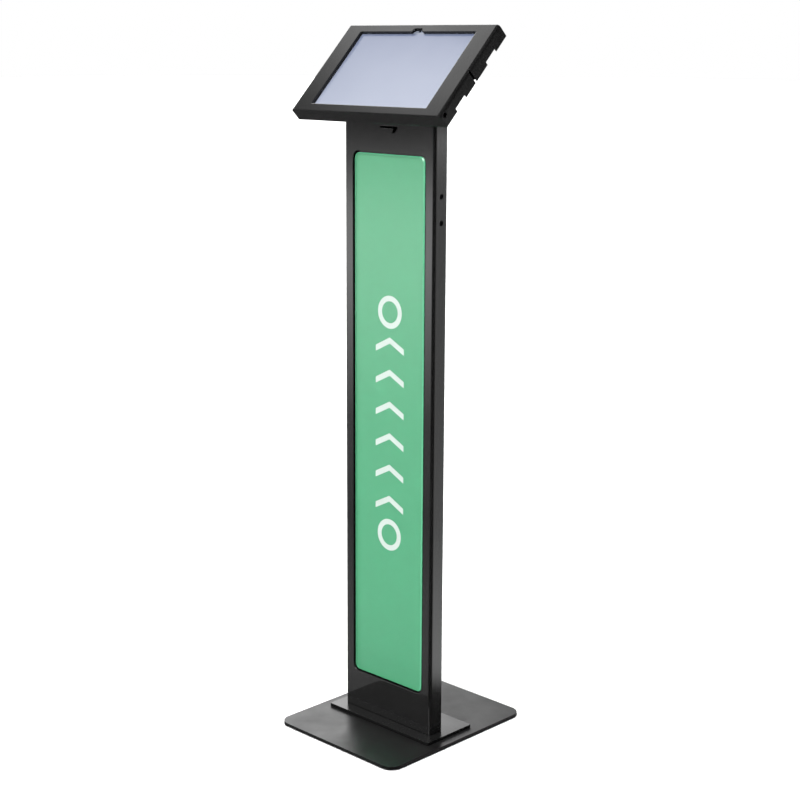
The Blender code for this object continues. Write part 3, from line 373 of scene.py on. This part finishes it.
def make_looks():
    """One finished material for each of the record's slots, and the special coats."""
    return {
        "black_powder_coat": coated_metal(
            "powder_coat_look", (0.004, 0.004, 0.004), (0.007, 0.007, 0.007), 0.06, 0.000004, 1.95, 1.2 * MM
        ),
        "black_gloss_coat": coated_metal(
            "gloss_coat_look", (0.004, 0.004, 0.004), (0.006, 0.006, 0.006), 0.36, 0.00001, 1.42, 0.6 * MM
        ),
        "head_coat": coated_metal(
            "head_coat_look", (0.004, 0.004, 0.004), (0.007, 0.007, 0.007), 0.13, 0.000006, 1.5, 1.5 * MM
        ),
        "foot_plate_coat": coated_metal(
            "foot_plate_look", (0.004, 0.004, 0.004), (0.006, 0.006, 0.006), 0.24, 0.000004, 1.45, 0.6 * MM
        ),
        "black_zinc": plated_metal("black_zinc_look", (0.012, 0.012, 0.013), 0.34),
        "zinc_steel": plated_metal("zinc_look", (0.62, 0.62, 0.6), 0.3),
        "rubber": soft_polymer("rubber_look", (0.012, 0.012, 0.012), 0.75, 1400.0, 0.00003),
        "foam": soft_polymer("foam_look", (0.006, 0.006, 0.006), 0.9, 2200.0, 0.00008),
        "green_print": printed_sheet(),
        # Painted light on the clear sheets: a green glow on the acrylic's chamfer and inner faces, a faint one on
        # the glass, and a dark painted shade on their edge walls
        "clear_acrylic": clear_sheet(
            "acrylic_look", (0.97, 0.99, 0.98), (0.01, 0.03, 0.02), screen_colour(100, 184, 142),
            (0, 1, 0), 0.06
        ),
        "screen_glass": clear_sheet(
            "glass_look", (0.96, 0.97, 0.98), (0.01, 0.015, 0.015), (0.02, 0.03, 0.03), HEAD_OUT, 0.03
        ),
        "display_picture": display_picture(),
        "tablet_graphite": anodised("graphite_look", (0.08, 0.08, 0.085), screen_colour(150, 155, 168)),
        "lens_black": lens("lens_look"),
    }


def dress_nodes():
    """Gives every CAD node the finished material of its slot."""
    looks = make_looks()
    for entry in frame["record"]["subparts"]:
        node = NODES[entry["node"]]
        node.data.materials.clear()
        node.data.materials.append(looks[NODE_LOOKS.get(entry["node"], entry["material_slot"])])


# ---------------------------------------------------------------- stage

def add_camera():
    """Camera at the height and angle of a standing viewer, front right of the kiosk."""
    data = bpy.data.cameras.new("camera")
    data.lens = CAMERA_LENS
    data.sensor_width = 36.0
    data.clip_end = 50.0
    camera = bpy.data.objects.new("camera", data)
    bpy.context.scene.collection.objects.link(camera)
    forward = Vector((
        -math.sin(CAMERA_YAW) * math.cos(CAMERA_PITCH),
        math.cos(CAMERA_YAW) * math.cos(CAMERA_PITCH),
        -math.sin(CAMERA_PITCH),
    ))
    level = forward.cross(Vector((0, 0, 1))).normalized()
    upright = level.cross(forward)
    right = level * math.cos(CAMERA_ROLL) + upright * math.sin(CAMERA_ROLL)
    up = upright * math.cos(CAMERA_ROLL) - level * math.sin(CAMERA_ROLL)
    turn = Matrix((right, up, -forward)).transposed().to_4x4()
    camera.matrix_world = Matrix.Translation(CAMERA_PLACE) @ turn
    bpy.context.scene.camera = camera


def heading(azimuth, elevation):
    """Unit vector for an azimuth from +X towards +Y and an elevation, in degrees."""
    flat = math.cos(math.radians(elevation))
    return (
        flat * math.cos(math.radians(azimuth)),
        flat * math.sin(math.radians(azimuth)),
        math.sin(math.radians(elevation)),
    )


def soft_disc(tree, ray, azimuth, elevation, core, fade, level):
    """Light from a round patch of the surroundings: even in its core, then fading out."""
    facing = tree.dot(ray, heading(azimuth, elevation))
    outer = math.cos(math.radians(core + fade))
    inner = math.cos(math.radians(core))
    return tree.ease(facing, outer, inner, 0.0, level)


def side_band(tree, ray, azimuth, core, fade, stops):
    """Light from one side of the room, given as levels at elevations."""
    turned = tree.dot(ray, heading(azimuth, 0))
    side = tree.ease(turned, math.cos(math.radians(core + fade)), math.cos(math.radians(core)))
    low = math.sin(math.radians(stops[0][0]))
    high = math.sin(math.radians(stops[-1][0]))
    ramp = tree.add("ShaderNodeValToRGB")
    tree.put(ramp.inputs[0], tree.span(tree.dot(ray, (0, 0, 1)), low, high))
    elements = ramp.color_ramp.elements
    shades = [(level / BAND_SCALE, level / BAND_SCALE, level / BAND_SCALE, 1) for _, level in stops]
    elements[0].color = shades[0]
    elements[1].color = shades[-1]
    for (elevation, _), shade in list(zip(stops, shades))[1:-1]:
        elements.new((math.sin(math.radians(elevation)) - low) / (high - low)).color = shade
    return tree.math("MULTIPLY", tree.math("MULTIPLY", side, ramp.outputs[0]), BAND_SCALE)


# Ceiling light, left out of reflections: azimuth, elevation, core, fade (degrees) and level
CEILING = (0, 90, 10, 25, 7.0)
# Soft boxes around the kiosk: azimuth, elevation, core, fade (degrees) and level
SOFT_BOXES = (
    (-85, 42, 8, 12, 13.5),
    (148.5, 26.5, 8, 14, 4.0),
    (178.5, 46.5, 0, 5, 1.0),
    (178.5, 46.5, 0, 6.8, 1.05),
    (178.5, 46.5, 0, 14, 0.2),
    (225, 23, 8, 14, 0.8),
    (175, -44, 8, 20, 0.12),
    (90, -62, 8, 22, 0.35),
)
# What the column's front, side and back mirror: azimuth, core, fade and (elevation, level) stops
SIDE_BANDS = (
    (215, 6, 34, (
        (-30, 0.26), (-23.3, 0.32), (-22, 0.44), (-20.4, 0.4), (-16.9, 0.2), (-13.3, 0.32), (-9.8, 0.96),
        (-7.7, 1.34), (-5.8, 1.24), (-4.2, 0.5), (-3.5, 0.3), (-2.8, 0.12), (0, 0.1),
    )),
    (50, 10, 40, (
        (-30, 0.0), (-22.9, 0.0), (-22.5, 1.0), (-22, 1.15), (-20.4, 0.95), (-17, 0.52), (-13, 0.42),
        (-7.5, 0.4), (-5, 0.44), (-4.2, 0.58), (-3.4, 0.95), (-2.6, 0.16), (1, 0.08),
    )),
    (90, 0, 35, ((-40, 0.0), (-30, 0.25), (-12, 0.7), (-3, 0.35), (5, 0.0))),
)
BAND_SCALE = 2.0
SURROUNDINGS = 0.02


def add_studio():
    """A dim room with soft boxes, and plain white behind the kiosk."""
    world = bpy.data.worlds.new("studio")
    world.use_nodes = True
    bpy.context.scene.world = world
    bpy.context.scene.view_settings.view_transform = "Standard"
    tree = Tree(world)
    ray = tree.add("ShaderNodeTexCoord").outputs["Generated"]
    light_path = tree.add("ShaderNodeLightPath")
    matte = tree.math("SUBTRACT", 1.0, light_path.outputs["Is Glossy Ray"])
    total = tree.math("MULTIPLY", soft_disc(tree, ray, *CEILING), matte)
    total = tree.math("ADD", total, SURROUNDINGS)
    for soft_box in SOFT_BOXES:
        total = tree.math("ADD", soft_disc(tree, ray, *soft_box), total)
    for band in SIDE_BANDS:
        total = tree.math("ADD", side_band(tree, ray, *band), total)
    strength = tree.add("ShaderNodeMix", data_type="FLOAT")
    tree.put(strength.inputs["Factor"], light_path.outputs["Is Camera Ray"])
    tree.put(strength.inputs["A"], total)
    tree.put(strength.inputs["B"], 1.0)
    tree.put(tree.nodes["Background"].inputs["Strength"], strength.outputs["Result"])
    tree.nodes["Background"].inputs["Color"].default_value = (1, 1, 1, 1)


def add_floor():
    """Pale floor that is left out of reflections and casts no shadow."""
    mesh = bpy.data.meshes.new("floor")
    corners = [(x * FLOOR_REACH, y * FLOOR_REACH, 0) for x, y in ((-1, -1), (1, -1), (1, 1), (-1, 1))]
    mesh.from_pydata(corners, [], [(0, 1, 2, 3)])
    floor = bpy.data.objects.new("floor", mesh)
    floor.data.materials.append(floor_paint())
    floor.visible_glossy = False
    floor.visible_shadow = False
    bpy.context.scene.collection.objects.link(floor)


add_camera()
dress_nodes()
add_studio()
add_floor()
